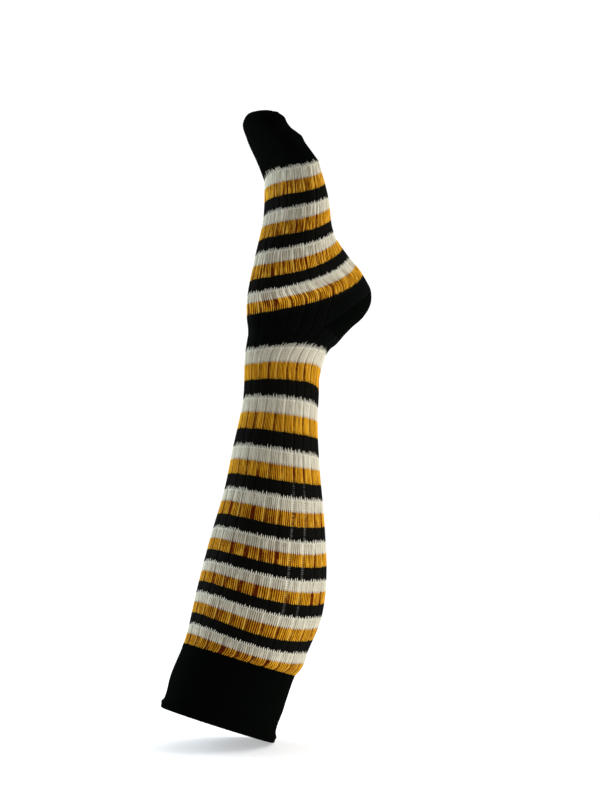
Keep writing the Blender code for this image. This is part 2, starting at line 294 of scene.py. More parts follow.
# The faces between the rows of a grid
def addSkin(shell, index, line, courses, closed, strip):
    corners = closeRound(index, closed)
    rows, columns = corners.shape
    linear = closeRound(line, closed, wales)
    height = closeRound(courses, closed)
    across = np.tile(np.linspace(*stripEnds, columns), (rows, 1))
    up = np.tile(np.linspace(*strip, rows)[:, None], (1, columns))
    knitMap = np.stack([fourCorners(linear), fourCorners(height)], axis=-1)
    bakeMap = np.stack([fourCorners(across), fourCorners(up)], axis=-1)
    addFaces(shell, fourCorners(corners), knitMap, bakeMap)


# The faces across the wall at an end, from each inner point to the outer points that it faces
def addRim(shell, outer, inner, course, closed, strip):
    outerRing = closeRound(outer[None], closed)[0]
    innerRing = closeRound(inner[None], closed)[0]
    edges = len(outerRing) - 1
    owner = np.arange(edges) // every
    steps = np.arange(len(innerRing) - 1)
    place = np.arange(edges + 1) / edges
    low, high = strip

    def addTriangles(corners, share, heights):
        up = np.broadcast_to(np.array(heights), share.shape)
        knitMap = np.stack([share * wales, np.full(share.shape, course)], axis=-1)
        addFaces(shell, corners, knitMap, np.stack([share, up], axis=-1))

    fans = np.stack([outerRing[:-1], outerRing[1:], innerRing[owner]], axis=-1)
    addTriangles(fans, np.stack([place[:-1], place[1:], owner * every / edges], axis=-1), (low, low, high))
    links = np.stack([outerRing[(steps + 1) * every], innerRing[steps + 1], innerRing[steps]], axis=-1)
    linkShare = np.stack([steps + 1, steps + 1, steps], axis=-1) * every / edges
    addTriangles(links, linkShare, (low, high, high))


# Every so many rows, and the last
def sparseRows(count, step):
    return np.unique(np.append(np.arange(0, count - 1, step), count - 1))


# A fine outer side, a plain inner side, and a rim at each end that is open. Rims has the course of each
def clothShell(outside, inside, line, stitched, ribbing, rows, rims, closed=True, strips=strips):
    shell = newShell()
    outer = addPoints(shell, outside, ribbing)
    addSkin(shell, outer, line, stitched, closed, strips["outer"])
    inner = addPoints(shell, inside[rows][:, ::every], 0)
    addSkin(shell, inner, line[rows][:, ::every], stitched[rows][:, ::every], closed, strips["inner"])
    addRim(shell, outer[0], inner[0], rims[0], closed, strips["start"])
    if len(rims) > 1:
        addRim(shell, outer[-1], inner[-1], rims[1], closed, strips["end"])
    return shell


def finishShell(shell, name, material, node):
    points = np.vstack(shell["points"])
    mesh = bpy.data.meshes.new(name)
    mesh.from_pydata(points.tolist(), [], shell["faces"])
    for title, values in (("OFBake", shell["bake"]), ("knit", shell["knit"])):
        layer = mesh.uv_layers.new(name=title)
        layer.data.foreach_set("uv", np.vstack(values).astype(np.float32).ravel())
    ribbing = mesh.attributes.new("ribbing", "FLOAT", "POINT")
    ribbing.data.foreach_set("value", np.concatenate(shell["ribbing"]).astype(np.float32))
    work = bmesh.new()
    work.from_mesh(mesh)
    bmesh.ops.remove_doubles(work, verts=work.verts, dist=1e-7)
    bmesh.ops.recalc_face_normals(work, faces=work.faces)
    work.to_mesh(mesh)
    work.free()
    mesh.shade_smooth()
    mesh.materials.append(material)
    made = bpy.data.objects.new(name, mesh)
    bpy.context.scene.collection.objects.link(made)
    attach(made, "root")
    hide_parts(node)
    print(f"{name}: {len(points)} points")
    return made


# Materials

cotton = {
    # Each yarn colour with a painted shade copy, and mustard and white with a painted highlight copy
    "mustard": (0.64, 0.31, 0.013),
    "mustardShade": (0.095, 0.012, 0.001),
    "mustardLit": (0.85, 0.52, 0.08),
    "white": (0.59, 0.555, 0.44),
    "whiteShade": (0.2, 0.165, 0.115),
    "whiteLit": (0.82, 0.79, 0.655),
    "black": (0.0036, 0.0035, 0.0025),
    "blackShade": (0.0026, 0.0026, 0.002),
    "deepBlack": (0.001, 0.0015, 0.0011),  # plain pieces, and the ribs between heel and instep
    "deepBlackEdge": (9, 5),  # in courses from the heel
    "threadThrough": (0.2, 0.2, 0.19),
    "mustardDarker": 1.8,
    "whitePaler": 0.2,  # how much less the painted shade at a groove's side shows in white
    "roughness": 0.95,
    "specular": 0.015,
    "plainSpecular": 0.006,
    "sheen": 0.01,
    "plainSheen": 0.003,
    "sheenRoughness": 0.6,
    "bump": 0.35,
    "bumpDepth": 0.3 * mm,
    "armBump": 0.4,  # the two slanted arms of a stitch, and how much fuller they are at its middle
    "armBumpChange": 0.6,
    "fibreBump": 0.18,
    "fibresInWale": 6,
}

# The edges of a band, in courses
bandEdge = {
    "teeth": 0.6,  # least reach of the last white stitches into the black, and how much it varies
    "teethChange": 1.5,
    "teethShape": (0.14, 0.4),  # from a wale's middle, in wales
    "lowTeeth": 0.5,  # share of that reach at the other two edges
    "ragged": 0.35,
    "soft": 0.12,
    # painted highlight on the tips of the white teeth: its reach in courses below the black, and its
    # strength
    "tip": 0.5,
    "litTips": 0.8,
}

# Painted shade and painted highlight lines on the stretched knit. Two numbers are where a line starts and
# where it is full, or the middle and width of what shows
lines = {
    "alongWale": 0.09,  # how fast the lines change, for a course along a wale
    "stretchAcross": 0.25,  # and for a wale across them
    "leg": {"streaks": 0.6, "streaksInWale": 0.6},
    "foot": {"streaks": 1.25, "streaksInWale": 0.95},
    "gap": (0.1, 0.42),  # the painted shade between wales, from a wale's middle
    "gapDepth": 0.75,  # how dark it is on average, and how much that varies
    "gapChange": 0.6,
    # painted shade in a purl groove, less where its ladder's bars cross it
    "groove": (0.8, 0.35),  # in wales from a groove's middle
    "grooveOpen": 1.1,
    "grooveChange": 0.5,
    "bars": 0.55,  # how much a groove's bars cover it
    # painted shade on one side of each groove
    "darkSide": (0.6, 2),  # middle and width, in wales from a groove
    "darkSideDepth": 0.6,
    "darkSideChange": 0.55,
    "unevenness": 0.2,
    "lessShadeAtBack": 0.1,  # how much less painted shade shows at the back of the leg and under the sole
    "back": (0.26, 0.1),  # share of the girth from the back
    "lessShadeAtAnkle": 0.16,  # and round the ankle, which is painted lighter this way
    "ankle": (-85, -40),  # courses
    "sideShade": 0.1,  # how much more painted shade beside the shin and the instep, away from the ankle
    "sideShadeShare": (0.38, 0.2),
    "ankleMiddle": -20,  # course, and the courses from it
    "sideShadeFrom": (30, 65),
    # painted highlight at the other side of each groove, and lighter random streaks
    "litLines": 0.75,
    "litSide": (-1, 1.1),
    "litByStreak": 1.2,
    "litByRib": 0.8,
    "litLess": 0.05,
    "litStreaks": 0.5,
    "litStreak": (-0.12, -0.4),
}

# Light threads cross the grooves where the calf stretches the knit open, on both sides of the leg
threads = {
    "wale": (45.5, 16),  # middle and width, in wales from the front or the back
    "course": (-98, 90),
    "thinness": 3,
    "least": 0.1,
    "change": 0.8,
}


class Nodes:
    def __init__(self, tree):
        self.tree = tree

    def add(self, kind, **settings):
        node = self.tree.nodes.new(kind)
        for name, value in settings.items():
            setattr(node, name, value)
        return node

    def join(self, value, socket):
        if isinstance(value, bpy.types.NodeSocket):
            self.tree.links.new(value, socket)
        else:
            socket.default_value = value

    def math(self, operation, *values):
        node = self.add("ShaderNodeMath", operation=operation)
        for value, socket in zip(values, node.inputs):
            self.join(value, socket)
        return node.outputs[0]

    def plus(self, first, second):
        return self.math("ADD", first, second)

    def minus(self, first, second):
        return self.math("SUBTRACT", first, second)

    def times(self, first, second):
        return self.math("MULTIPLY", first, second)

    def timesPlus(self, first, second, more):
        return self.math("MULTIPLY_ADD", first, second, more)

    def most(self, first, second):
        return self.math("MAXIMUM", first, second)

    def least(self, first, second):
        return self.math("MINIMUM", first, second)

    def size(self, value):
        return self.math("ABSOLUTE", value)

    def within(self, value):
        return self.least(self.most(value, 0), 1)

    # An arch from 0 to 1 and back over each whole number
    def arch(self, value):
        return self.math("SINE", self.times(self.math("FRACT", value), math.pi))

    # 0 at start and before it, 1 at full and beyond it
    def ramp(self, value, start, full):
        node = self.add("ShaderNodeMapRange", interpolation_type="SMOOTHSTEP")
        self.join(value, node.inputs["Value"])
        self.join(start, node.inputs["From Min"])
        self.join(full, node.inputs["From Max"])
        return node.outputs["Result"]

    # 1 at the middle, 0 beyond half of the width
    def peak(self, value, middle, width):
        return self.ramp(self.size(self.minus(value, middle)), width / 2, width / 4)

    def mix(self, factor, first, second):
        node = self.add("ShaderNodeMix", data_type="RGBA")
        self.join(factor, node.inputs[0])
        for value, socket in ((first, node.inputs[6]), (second, node.inputs[7])):
            self.join((*value, 1) if isinstance(value, tuple) else value, socket)
        return node.outputs[2]

    def flatPlace(self, first, second):
        place = self.add("ShaderNodeCombineXYZ")
        self.join(first, place.inputs[0])
        self.join(second, place.inputs[1])
        return place.outputs[0]

    # Noise from -1 to 1 over a flat map
    def noise(self, first, second, scale=1, detail=2):
        node = self.add("ShaderNodeTexNoise")
        self.join(self.flatPlace(first, second), node.inputs["Vector"])
        node.inputs["Scale"].default_value = scale
        node.inputs["Detail"].default_value = detail
        return self.timesPlus(node.outputs[0], 2, -1)

    # A value from 0 to 1 for each whole cell
    def cell(self, first, second):
        node = self.add("ShaderNodeTexWhiteNoise", noise_dimensions="2D")
        place = self.flatPlace(self.math("FLOOR", first), self.math("FLOOR", second))
        self.join(place, node.inputs["Vector"])
        return node.outputs["Value"]


# Places on the knit map, whose numbers are wales and courses, and the chances of each wale, rib and stitch
def knitPlaces(nodes):
    split = nodes.add("ShaderNodeSeparateXYZ")
    nodes.join(nodes.add("ShaderNodeUVMap", uv_map="knit").outputs[0], split.inputs[0])
    at = SimpleNamespace(line=split.outputs[0], course=split.outputs[1])
    at.ribbing = nodes.add("ShaderNodeAttribute", attribute_name="ribbing").outputs["Fac"]
    shifted = nodes.plus(at.line, 0.5)
    at.inWale = nodes.size(nodes.minus(nodes.math("FRACT", shifted), 0.5))
    rib = nodes.timesPlus(at.line, 1 / knit["walesInRib"], 0.5)
    at.fromGroove = nodes.times(nodes.minus(nodes.math("FRACT", rib), 0.5), knit["walesInRib"])
    at.inGroove = nodes.times(nodes.ramp(nodes.size(at.fromGroove), *lines["groove"]), at.ribbing)
    at.fromBack = nodes.size(nodes.timesPlus(at.line, 1 / wales, -0.5))
    at.stitched = nodes.minus(at.course, nodes.times(at.inWale, knit["stitchSlope"]))
    at.bars = nodes.arch(at.course)
    at.stitchChance = nodes.cell(shifted, at.stitched)
    at.waleChance = nodes.cell(shifted, 0.5)
    at.toothChance = nodes.cell(at.line, 0.5)
    at.ribChance = nodes.cell(rib, nodes.math("DIVIDE", at.course, repeat))
    return at


# Painted shade where two wales meet, more so in some stretches, between the ladder's bars in a groove, and
# at the groove's side. Painted highlight at its other side, and lighter in some random streaks
def knitTones(nodes, at, look, atAnkle):
    tones = SimpleNamespace()
    alongWale = nodes.times(at.course, lines["alongWale"])
    stretch = nodes.noise(nodes.times(at.line, lines["stretchAcross"]), alongWale)
    streak = nodes.noise(nodes.times(at.line, look["streaksInWale"]), alongWale)
    depth = nodes.timesPlus(at.waleChance, lines["gapChange"], lines["gapDepth"] - lines["gapChange"] / 2)
    depth = nodes.timesPlus(stretch, lines["gapChange"], depth)
    # painted shade in the valley between two wales
    gap = nodes.times(nodes.ramp(at.inWale, *lines["gap"]), depth)
    # painted shade in the groove, between its ladder's bars
    openness = nodes.timesPlus(at.ribChance, -lines["grooveChange"], lines["grooveOpen"])
    ladder = nodes.times(at.inGroove, nodes.timesPlus(at.bars, -lines["bars"], openness))
    # painted shade on the groove's shaded side
    tones.inDarkSide = nodes.times(nodes.peak(at.fromGroove, *lines["darkSide"]), at.ribbing)
    sideDepth = nodes.timesPlus(at.ribChance, -lines["darkSideChange"], lines["darkSideDepth"])
    tone = nodes.most(nodes.most(gap, ladder), nodes.times(tones.inDarkSide, sideDepth))
    tone = nodes.timesPlus(nodes.minus(at.stitchChance, 0.5), lines["unevenness"], tone)
    tone = nodes.timesPlus(streak, look["streaks"], tone)
    # less painted shade at the back and round the ankle, more beside the shin and the instep
    tone = nodes.timesPlus(nodes.ramp(at.fromBack, *lines["back"]), -lines["lessShadeAtBack"], tone)
    if atAnkle:
        tone = nodes.timesPlus(nodes.ramp(at.course, *lines["ankle"]), -lines["lessShadeAtAnkle"], tone)
    fromAnkle = nodes.size(nodes.minus(at.course, lines["ankleMiddle"]))
    # more painted shade beside the shin and the instep, away from the ankle
    sideShadeAt = nodes.peak(at.fromBack, *lines["sideShadeShare"])
    sideShadeAt = nodes.times(sideShadeAt, nodes.ramp(fromAnkle, *lines["sideShadeFrom"]))
    tones.tone = nodes.timesPlus(sideShadeAt, lines["sideShade"], tone)
    tones.shade = nodes.within(tones.tone)

    # painted highlight at the groove's other side, and lighter random streaks
    chance = nodes.timesPlus(at.ribChance, lines["litByRib"], -lines["litLess"])
    chance = nodes.timesPlus(streak, lines["litByStreak"], chance)
    litSide = nodes.times(nodes.peak(at.fromGroove, *lines["litSide"]), nodes.times(at.ribbing, chance))
    litStreak = nodes.times(nodes.ramp(streak, *lines["litStreak"]), lines["litStreaks"] * look["streaks"])
    tones.lit = nodes.within(nodes.most(nodes.times(litSide, lines["litLines"]), litStreak))
    return tones


# Band has the course where a mustard band starts, and the lowest and highest courses of the pattern
def bandColour(nodes, at, tones, band, black):
    # mustard with painted shade and painted highlight
    darker = nodes.within(nodes.times(tones.tone, cotton["mustardDarker"]))
    mustard = nodes.mix(darker, cotton["mustard"], cotton["mustardShade"])
    mustard = nodes.mix(tones.lit, mustard, cotton["mustardLit"])
    ragged = nodes.timesPlus(at.waleChance, bandEdge["ragged"], -bandEdge["ragged"] / 2)
    edge = nodes.plus(nodes.minus(at.stitched, band["start"]), ragged)
    edge = nodes.most(nodes.least(edge, band["high"]), band["low"])
    inBand = nodes.math("WRAP", edge, repeat, 0)
    reach = nodes.timesPlus(at.toothChance, bandEdge["teethChange"], bandEdge["teeth"])
    tooth = nodes.times(nodes.ramp(at.inWale, *bandEdge["teethShape"]), reach)
    aboveTooth = nodes.minus(inBand, nodes.times(tooth, bandEdge["lowTeeth"]))
    soft = bandEdge["soft"]
    whiteStart = knit["mustardCourses"]
    blackStart = whiteStart + knit["whiteCourses"]
    isWhite = nodes.ramp(aboveTooth, whiteStart - 2 * soft, whiteStart + 2 * soft)
    isBlack = nodes.ramp(nodes.minus(inBand, tooth), blackStart - soft, blackStart + soft)
    # painted highlight on the tips of the white teeth
    tip = nodes.times(nodes.ramp(inBand, blackStart - bandEdge["tip"], blackStart), bandEdge["litTips"])
    # white with painted shade, then painted highlight
    paler = nodes.within(nodes.timesPlus(tones.inDarkSide, -cotton["whitePaler"], tones.shade))
    white = nodes.mix(paler, cotton["white"], cotton["whiteShade"])
    white = nodes.mix(nodes.most(tones.lit, tip), white, cotton["whiteLit"])
    colour = nodes.mix(isWhite, mustard, white)
    colour = nodes.mix(isBlack, colour, black)
    colour = nodes.mix(nodes.ramp(aboveTooth, 0, soft), black, colour)

    halfRound = wales / 2
    aroundHalf = nodes.times(nodes.math("FRACT", nodes.math("DIVIDE", at.line, halfRound)), halfRound)
    atCalf = nodes.peak(at.course, *threads["course"])
    opened = nodes.times(nodes.peak(aroundHalf, *threads["wale"]), atCalf)
    bright = nodes.timesPlus(at.stitchChance, threads["change"], threads["least"])
    crossing = nodes.times(nodes.math("POWER", at.bars, threads["thinness"]), bright)
    crossing = nodes.times(nodes.times(at.inGroove, opened), crossing)
    through = nodes.mix(isWhite, cotton["mustardLit"], cotton["whiteLit"])
    through = nodes.mix(isBlack, through, cotton["threadThrough"])
    return nodes.mix(nodes.within(crossing), colour, through)


# Two slanted arms in each stitch, and fibres
def stitchBump(nodes, at, shader):
    arms = nodes.math("SINE", nodes.times(at.inWale, 2 * math.pi))
    fuller = nodes.timesPlus(nodes.arch(at.stitched), cotton["armBumpChange"], cotton["armBump"])
    fibres = nodes.noise(at.line, at.course, cotton["fibresInWale"], 3)
    height = nodes.timesPlus(fibres, cotton["fibreBump"], nodes.times(arms, fuller))
    bump = nodes.add("ShaderNodeBump")
    bump.inputs["Strength"].default_value = cotton["bump"]
    bump.inputs["Distance"].default_value = cotton["bumpDepth"]
    nodes.join(height, bump.inputs["Height"])
    nodes.join(bump.outputs[0], shader.inputs["Normal"])


# Knitted cotton. A plain piece is smoother and deeper black, and one without a band is black all over
def knitMaterial(name, band=None, look=lines["leg"], atAnkle=False, plain=False):
    made = bpy.data.materials.new(name)
    made.use_nodes = True
    shader = made.node_tree.nodes["Principled BSDF"]
    nodes = Nodes(made.node_tree)
    at = knitPlaces(nodes)
    tones = knitTones(nodes, at, look, atAnkle)
    # black with painted shade
    black = nodes.mix(tones.shade, cotton["black"], cotton["blackShade"])
    deep = 1 if plain else nodes.ramp(nodes.size(at.course), *cotton["deepBlackEdge"])
    colour = black = nodes.mix(deep, black, cotton["deepBlack"])
    if band:
        colour = bandColour(nodes, at, tones, band, black)
    nodes.join(colour, shader.inputs["Base Color"])
    shader.inputs["Roughness"].default_value = cotton["roughness"]
    shader.inputs["Specular IOR Level"].default_value = cotton["plainSpecular" if plain else "specular"]
    shader.inputs["Sheen Weight"].default_value = cotton["plainSheen" if plain else "sheen"]
    shader.inputs["Sheen Roughness"].default_value = cotton["sheenRoughness"]
    stitchBump(nodes, at, shader)
    return made


legBand = {"start": 0, "low": -legEnd - 2, "high": -0.5}
legKnit = knitMaterial("legStripedKnit", legBand, atAnkle=True)
footStart = knit["blackCourses"]
lastBand = footEnd - footStart
footBand = {"start": footStart, "low": 3 - footStart, "high": lastBand + 2}
footKnit = knitMaterial("footStripedKnit", footBand, lines["foot"])
toeBand = {"start": footStart, "low": lastBand - 1, "high": lastBand + 4}
toeKnit = knitMaterial("toeKnit", toeBand, lines["foot"], plain=True)
cuffBand = {"start": 0, "low": -legEnd - 4, "high": 1 - legEnd}
cuffKnit = knitMaterial("cuffKnit", cuffBand, plain=True)
heelKnit = knitMaterial("heelKnit", plain=True)
print("materials made")


# Base surfaces, each a row of knots with their ring frames

def surfaceOf(rings, first=None):
    knots = [ring.at for ring in rings]
    frames = [frameOf(ring) for ring in rings]
    if first is not None:
        knots, frames = [0, *knots], [first, *frames]
    return np.array(knots, float), np.array(frames)


def columnLine(first, last):
    return np.arange(first * knit["columnsInWale"], last * knit["columnsInWale"]) / knit["columnsInWale"]


def rowPlaces(last, perUnit):
    return np.linspace(0, last, round(last * perUnit) + 1)


# Line of wales for each row, and the shares of the girth that it gives once it has strayed
def strayedLine(courses):
    plain = np.tile(columnLine(0, wales), (len(courses), 1))
    return plain, (plain + wander(plain, courses[:, None])) / wales


rowsInCourse = knit["rowsInCourse"]
grids = {}

ankle = {
    "front": (30, 347),
    "side": (88, 353.6),
    "width": 62,
}


# A ring that turns at the ankle's sides, on its way to a point of the heel
def fanFrame(back, full):
    front, side, back = np.array(ankle["front"]), np.array(ankle["side"]), np.array(back)
    pulls = (*(front - side), *(side - back))
    return np.array([*front, *side, *back, *pulls, ankle["width"] / 2, full, 0])


heel = {
    "relaxed": (0.1, 0.055),
    "outline": ((114, 342.5), (128.5, 357), (141.5, 368.5), (149, 380.5), (150.5, 395)),
    "fullness": (0.1, 0.4),
    "courses": 30,
    "ribFade": 5,
    "cornerDepth": 1.3 * mm,  # how far the corner to the sole is rounded off
    "cornerReach": 3.2,  # in millimetres
    "cornerWide": 0.12,  # share of the girth
}

heelKnots = np.concatenate([[0], np.cumsum(np.linalg.norm(np.diff(heel["outline"], axis=0), axis=1))])
heelFull = np.interp(heelKnots, (0, heelKnots[-1]), heel["fullness"])
fan = [fanFrame(back, full) for back, full in zip(heel["outline"], heelFull)]
heelPlaces = np.linspace(0, heelKnots[-1], heel["courses"] * rowsInCourse + 1)
heelColumns = np.append(columnLine(wales / 4, wales * 3 / 4), wales * 3 / 4)
heelLine = np.tile(heelColumns, (len(heelPlaces), 1))
heelShares = (heelLine + wander(heelLine, 0)) / wales
grids["heel"] = clothGrid((heelKnots, np.array(fan)), heelPlaces, heelShares)

# Rings are at courses from the heel
leg = {
    "relaxed": (0.195, 0.335),
    "rings": (
        Ring(8, 65, 330.5, 75, 58, -1, 3.5, 0.56, 0.08, 0),
        Ring(29, 60, 284.5, 68, 62, -6.5, 1, 0.5, 0, 0),
        Ring(50, 55.5, 239.8, 77.5, 74, -7.7, -1.5, 0.5, 0, 0),
        Ring(71, 53, 201, 88, 88, -7, -4, 0.5, 0, 0),
        Ring(92, 49, 165.8, 101, 99, -7, -6, 0.5, 0, 0),
        Ring(113, 45, 133.5, 111, 104, -9, -6.5, 0.5, 0, 0),
        Ring(134, 39, 103.5, 114.5, 105, -11.5, -7.5, 0.5, 0, 0),
        Ring(155, 28.7, 74, 108, 102, -14, -7, 0.5, 0, 0),
        Ring(165.5, 22.7, 58.7, 105, 99, -16.5, -3, 0.5, 0, 0),
        Ring(168, 19.8, 54.8, 102.5, 96, -17.8, 0, 0.5, 0, 0),
    ),
    "sag": 3,  # how far the first bands sag behind the ankle, in courses as the next two are
    "sagAt": 19,
    "sagHigh": 7,
    "sagWide": 0.11,  # share of the girth
}

legCourses = rowPlaces(legEnd, rowsInCourse)
legLine, legShares = strayedLine(-legCourses)
grids["leg"] = clothGrid(surfaceOf(leg["rings"], fan[0]), legCourses, legShares)
fromBack = (legShares - 0.5) / leg["sagWide"]
fromMiddle = (legCourses[:, None] - leg["sagAt"]) / leg["sagHigh"]
legSag = leg["sag"] * np.exp(-(fromBack**2) - fromMiddle**2)
grids["leg"]["points"] += grids["leg"]["along"] * legSag[..., None]

# Rings are at courses from the heel
foot = {
    "relaxed": (0.185, 0.17),
    "rings": (
        Ring(8, 83.2, 387, 119, 62, 22.3, -10, 0.6, 0.3, 0),
        Ring(21, 76.8, 403.5, 103.5, 66, 23.5, -9, 0.57, 0.25, 0),
        Ring(42, 72.5, 433.6, 74, 72, 21, -6.5, 0.54, 0.15, 0),
        Ring(63, 73.3, 468.3, 54.5, 80, 21, -5.5, 0.54, 0.15, 0),
        Ring(84, 68.8, 503, 38.5, 82, 19.5, -5.5, 0.54, 0.15, 0),
    ),
    "ribEdge": 4,  # wales over which the ribs end behind the foot's sides
    "soleCourse": 2.4,  # height of the sole's first courses in millimetres
}

footCourses = rowPlaces(footEnd, rowsInCourse)
footLine, footShares = strayedLine(footCourses)
grids["foot"] = clothGrid(surfaceOf(foot["rings"], fan[-1]), footCourses, footShares)

# Rings are at millimetres from the foot's last ring
toe = {
    "relaxed": (0.175, 0.06),
    "courseHeight": 2.1,
    "rings": (
        foot["rings"][-1]._replace(at=0),
        Ring(17, 58.8, 519, 35.5, 80, 18, -4, 0.53, 0.15, 3),
        Ring(34, 49.5, 534, 35.5, 76, 12, -3, 0.52, 0.1, 6),
        Ring(46, 43.5, 545, 30, 69, 4, -2, 0.5, 0.1, 8),
        Ring(53, 44.5, 552, 20, 60, -5, -1, 0.5, 0.1, 6.5),
        Ring(56, 45, 554, 10, 52, -6, 0, 0.5, 0, 5.5),
    ),
    "ribFade": 6,
    "endRows": 8,
    "endCourse": 0.25,  # how far the courses count on in each of those rows
    "endLength": 0.7 * mm,
    "endNarrowing": 0.3,
    "endDrop": 0.98,  # how much of the end's bulge is gone at the seam's ends
    "seamRidge": 0.3 * mm,
    "ridgeFrom": 0.75,  # share of the end's length where the ridge starts
}

toePlaces = rowPlaces(toe["rings"][-1].at, rowsInCourse / toe["courseHeight"])
toeCourses = footEnd + toePlaces / toe["courseHeight"]
toeLine, toeShares = strayedLine(toeCourses)
grids["toe"] = clothGrid(surfaceOf(toe["rings"]), toePlaces, toeShares)

# Rings are at millimetres from the leg's last ring
cuff = {
    "relaxed": (0.19, 0.075),
    "courseHeight": 1.5,
    "rings": (
        leg["rings"][-1]._replace(at=0),
        Ring(30, 8.6, 27.5, 105.5, 92, -18.8, -1, 0.5, 0, 0),
        Ring(58, 0.5, 3, 106.5, 90, -19.4, 0, 0.5, 0, 0),
        Ring(62, -0.5, -0.6, 109.5, 92, -19.5, 0, 0.5, 0, 0),
    ),
    "height": 62,
    "wall": 2.6 * mm,
    "rollSteps": 6,
    "rollCourse": -0.5,  # how far the courses count on in each of those steps
    "ribFade": 5,
    "hemBulge": 0.9 * mm,  # the turned edge is fuller a little above its fold, and curls in at the fold
    "hemBulgeAt": 57.5,
    "hemBulgeHigh": 2.4,
    "hemCurl": 1.3 * mm,
}

cuffPlaces = rowPlaces(cuff["height"] - cuff["wall"] / mm / 2, rowsInCourse / cuff["courseHeight"])
cuffCourses = -legEnd - cuffPlaces / cuff["courseHeight"]
cuffLine, cuffShares = strayedLine(cuffCourses)
grids["cuff"] = clothGrid(surfaceOf(cuff["rings"]), cuffPlaces, cuffShares)
hem = cuff["hemBulge"] * np.exp(-(((cuffPlaces - cuff["hemBulgeAt"]) / cuff["hemBulgeHigh"]) ** 2))
hem -= cuff["hemCurl"] * smooth(cuff["hemBulgeAt"], cuff["height"], cuffPlaces)
grids["cuff"]["points"] += grids["cuff"]["out"] * hem[:, None, None]
print("base surfaces made")


# Seams: pieces that meet there are moved out the same way
def shareOut(first, firstRow, firstColumns, second, secondRow, secondColumns):
    both = grids[first]["out"][firstRow, firstColumns] + grids[second]["out"][secondRow, secondColumns]
    both /= np.linalg.norm(both, axis=1, keepdims=True)
    grids[first]["out"][firstRow, firstColumns] = both
    grids[second]["out"][secondRow, secondColumns] = both


allColumns = np.arange(wales * knit["columnsInWale"])
quarter = len(allColumns) // 4
backColumns = np.arange(quarter + 1, 3 * quarter)
instepColumns = np.setdiff1d(allColumns, backColumns)
heelInsideColumns = np.arange(1, len(backColumns) + 1)
shareOut("leg", -1, allColumns, "cuff", 0, allColumns)
shareOut("foot", -1, allColumns, "toe", 0, allColumns)
shareOut("leg", 0, instepColumns, "foot", 0, instepColumns)
shareOut("leg", 0, backColumns, "heel", 0, heelInsideColumns)
shareOut("foot", 0, backColumns, "heel", -1, heelInsideColumns)
for side, column in ((0, quarter), (-1, 3 * quarter)):
    grids["heel"]["out"][:, side] = grids["leg"]["out"][0, column]

# The sole turns into the heel over a round corner
cornerRows = {
    "foot": (footCourses * foot["soleCourse"], footShares),
    "heel": (heelKnots[-1] - heelPlaces, heelShares),
}
for name, (away, shares) in cornerRows.items():
    aside = (shares - 0.5) / heel["cornerWide"]
    inward = heel["cornerDepth"] * np.exp(-away[:, None] / heel["cornerReach"] - aside**2)
    grids[name]["points"] -= grids[name]["out"] * inward[..., None]


def innerSide(name, wall=knit["wall"]):
    return grids[name]["points"] - grids[name]["out"] * wall


# Lines, courses and ribbing with rows added for an end, in plain knit along the same wales
def addEnd(line, stitched, ribbing, rows, course):
    count = np.arange(1, rows + 1)[:, None]
    line = np.concatenate([line, np.tile(line[-1:], (rows, 1))])
    stitched = np.concatenate([stitched, stitched[-1:] + count * course])
    ribbing = np.concatenate([ribbing, np.zeros((rows, ribbing.shape[1]))])
    return line, stitched, ribbing


# Ribs run over the instep, and end a few wales behind the foot's sides
def footRibbing(line):
    behind = wales / 4 - np.abs(line % wales - wales / 2)
    return 1 - smooth(0, foot["ribEdge"], behind)


# Leg, in two shells
ribbing = np.ones(legLine.shape)
points, stitched = dressGrid(grids["leg"], legLine, -legCourses[:, None] * ribbing, ribbing, -1)
inside = innerSide("leg")
middleRow = len(legCourses) // 2
for name, half in (("sockLegUpper", slice(0, middleRow + 1)), ("sockLegLower", slice(middleRow, None))):
    halfStitched = stitched[half]
    rims = (halfStitched[0, 0], halfStitched[-1, 0])
    rows = sparseRows(len(halfStitched), 2 * every)
    shell = clothShell(points[half], inside[half], legLine[half], halfStitched, ribbing[half], rows, rims)
    finishShell(shell, name, legKnit, "leg")

# Foot
ribbing = footRibbing(footLine)
courses = footCourses[:, None] + 0 * ribbing
points, stitched = dressGrid(grids["foot"], footLine, courses, ribbing, 1)
rows = sparseRows(len(footLine), 2 * every)
rims = (stitched[0, 0], stitched[-1, 0])
shell = clothShell(points, innerSide("foot"), footLine, stitched, ribbing, rows, rims)
finishShell(shell, "sockFoot", footKnit, "foot")

# Heel pocket, a fan that turns at the ankle's sides
courses = np.round(heelPlaces / heelKnots[-1] * heel["courses"], 6)[:, None] + 0 * heelLine
ribbing = np.maximum(1 - smooth(0, heel["ribFade"], courses), footRibbing(heelLine))
points, stitched = dressGrid(grids["heel"], heelLine, courses, ribbing, -1)
inside = innerSide("heel")
for side in (0, -1):
    points[:, side] = points[0, side]
    inside[:, side] = inside[0, side]
rows = sparseRows(len(heelPlaces), every)
shell = clothShell(points, inside, heelLine, stitched, ribbing, rows, (0, 0), closed=False)
finishShell(shell, "sockHeel", heelKnit, "heel")


# The toe's end, rounded to the seam that closes it. Each point's partner is across the seam
def closedEnd(points, length, ridge):
    last = points[-1]
    partner = (len(last) // 2 - allColumns) % len(last)
    middle = (last + last[partner]) / 2
    centre = middle.mean(axis=0)
    aside = middle - centre
    reach = np.linalg.norm(aside, axis=1, keepdims=True)
    bulge = np.sqrt(1 - toe["endDrop"] * (reach / reach.max()) ** 2)
    heading = (points[-1] - points[-3]).mean(axis=0)
    heading /= np.linalg.norm(heading)
    rows = []
    for turn in np.linspace(0, math.pi / 2, toe["endRows"] + 1)[1:]:
        out = length * math.sin(turn) + ridge * smooth(toe["ridgeFrom"], 1, math.sin(turn))
        narrow = 1 - toe["endNarrowing"] * (1 - math.cos(turn))
        rows.append(centre + aside * narrow + (last - middle) * math.cos(turn) + heading * out * bulge)
    return np.concatenate([points, np.array(rows)])


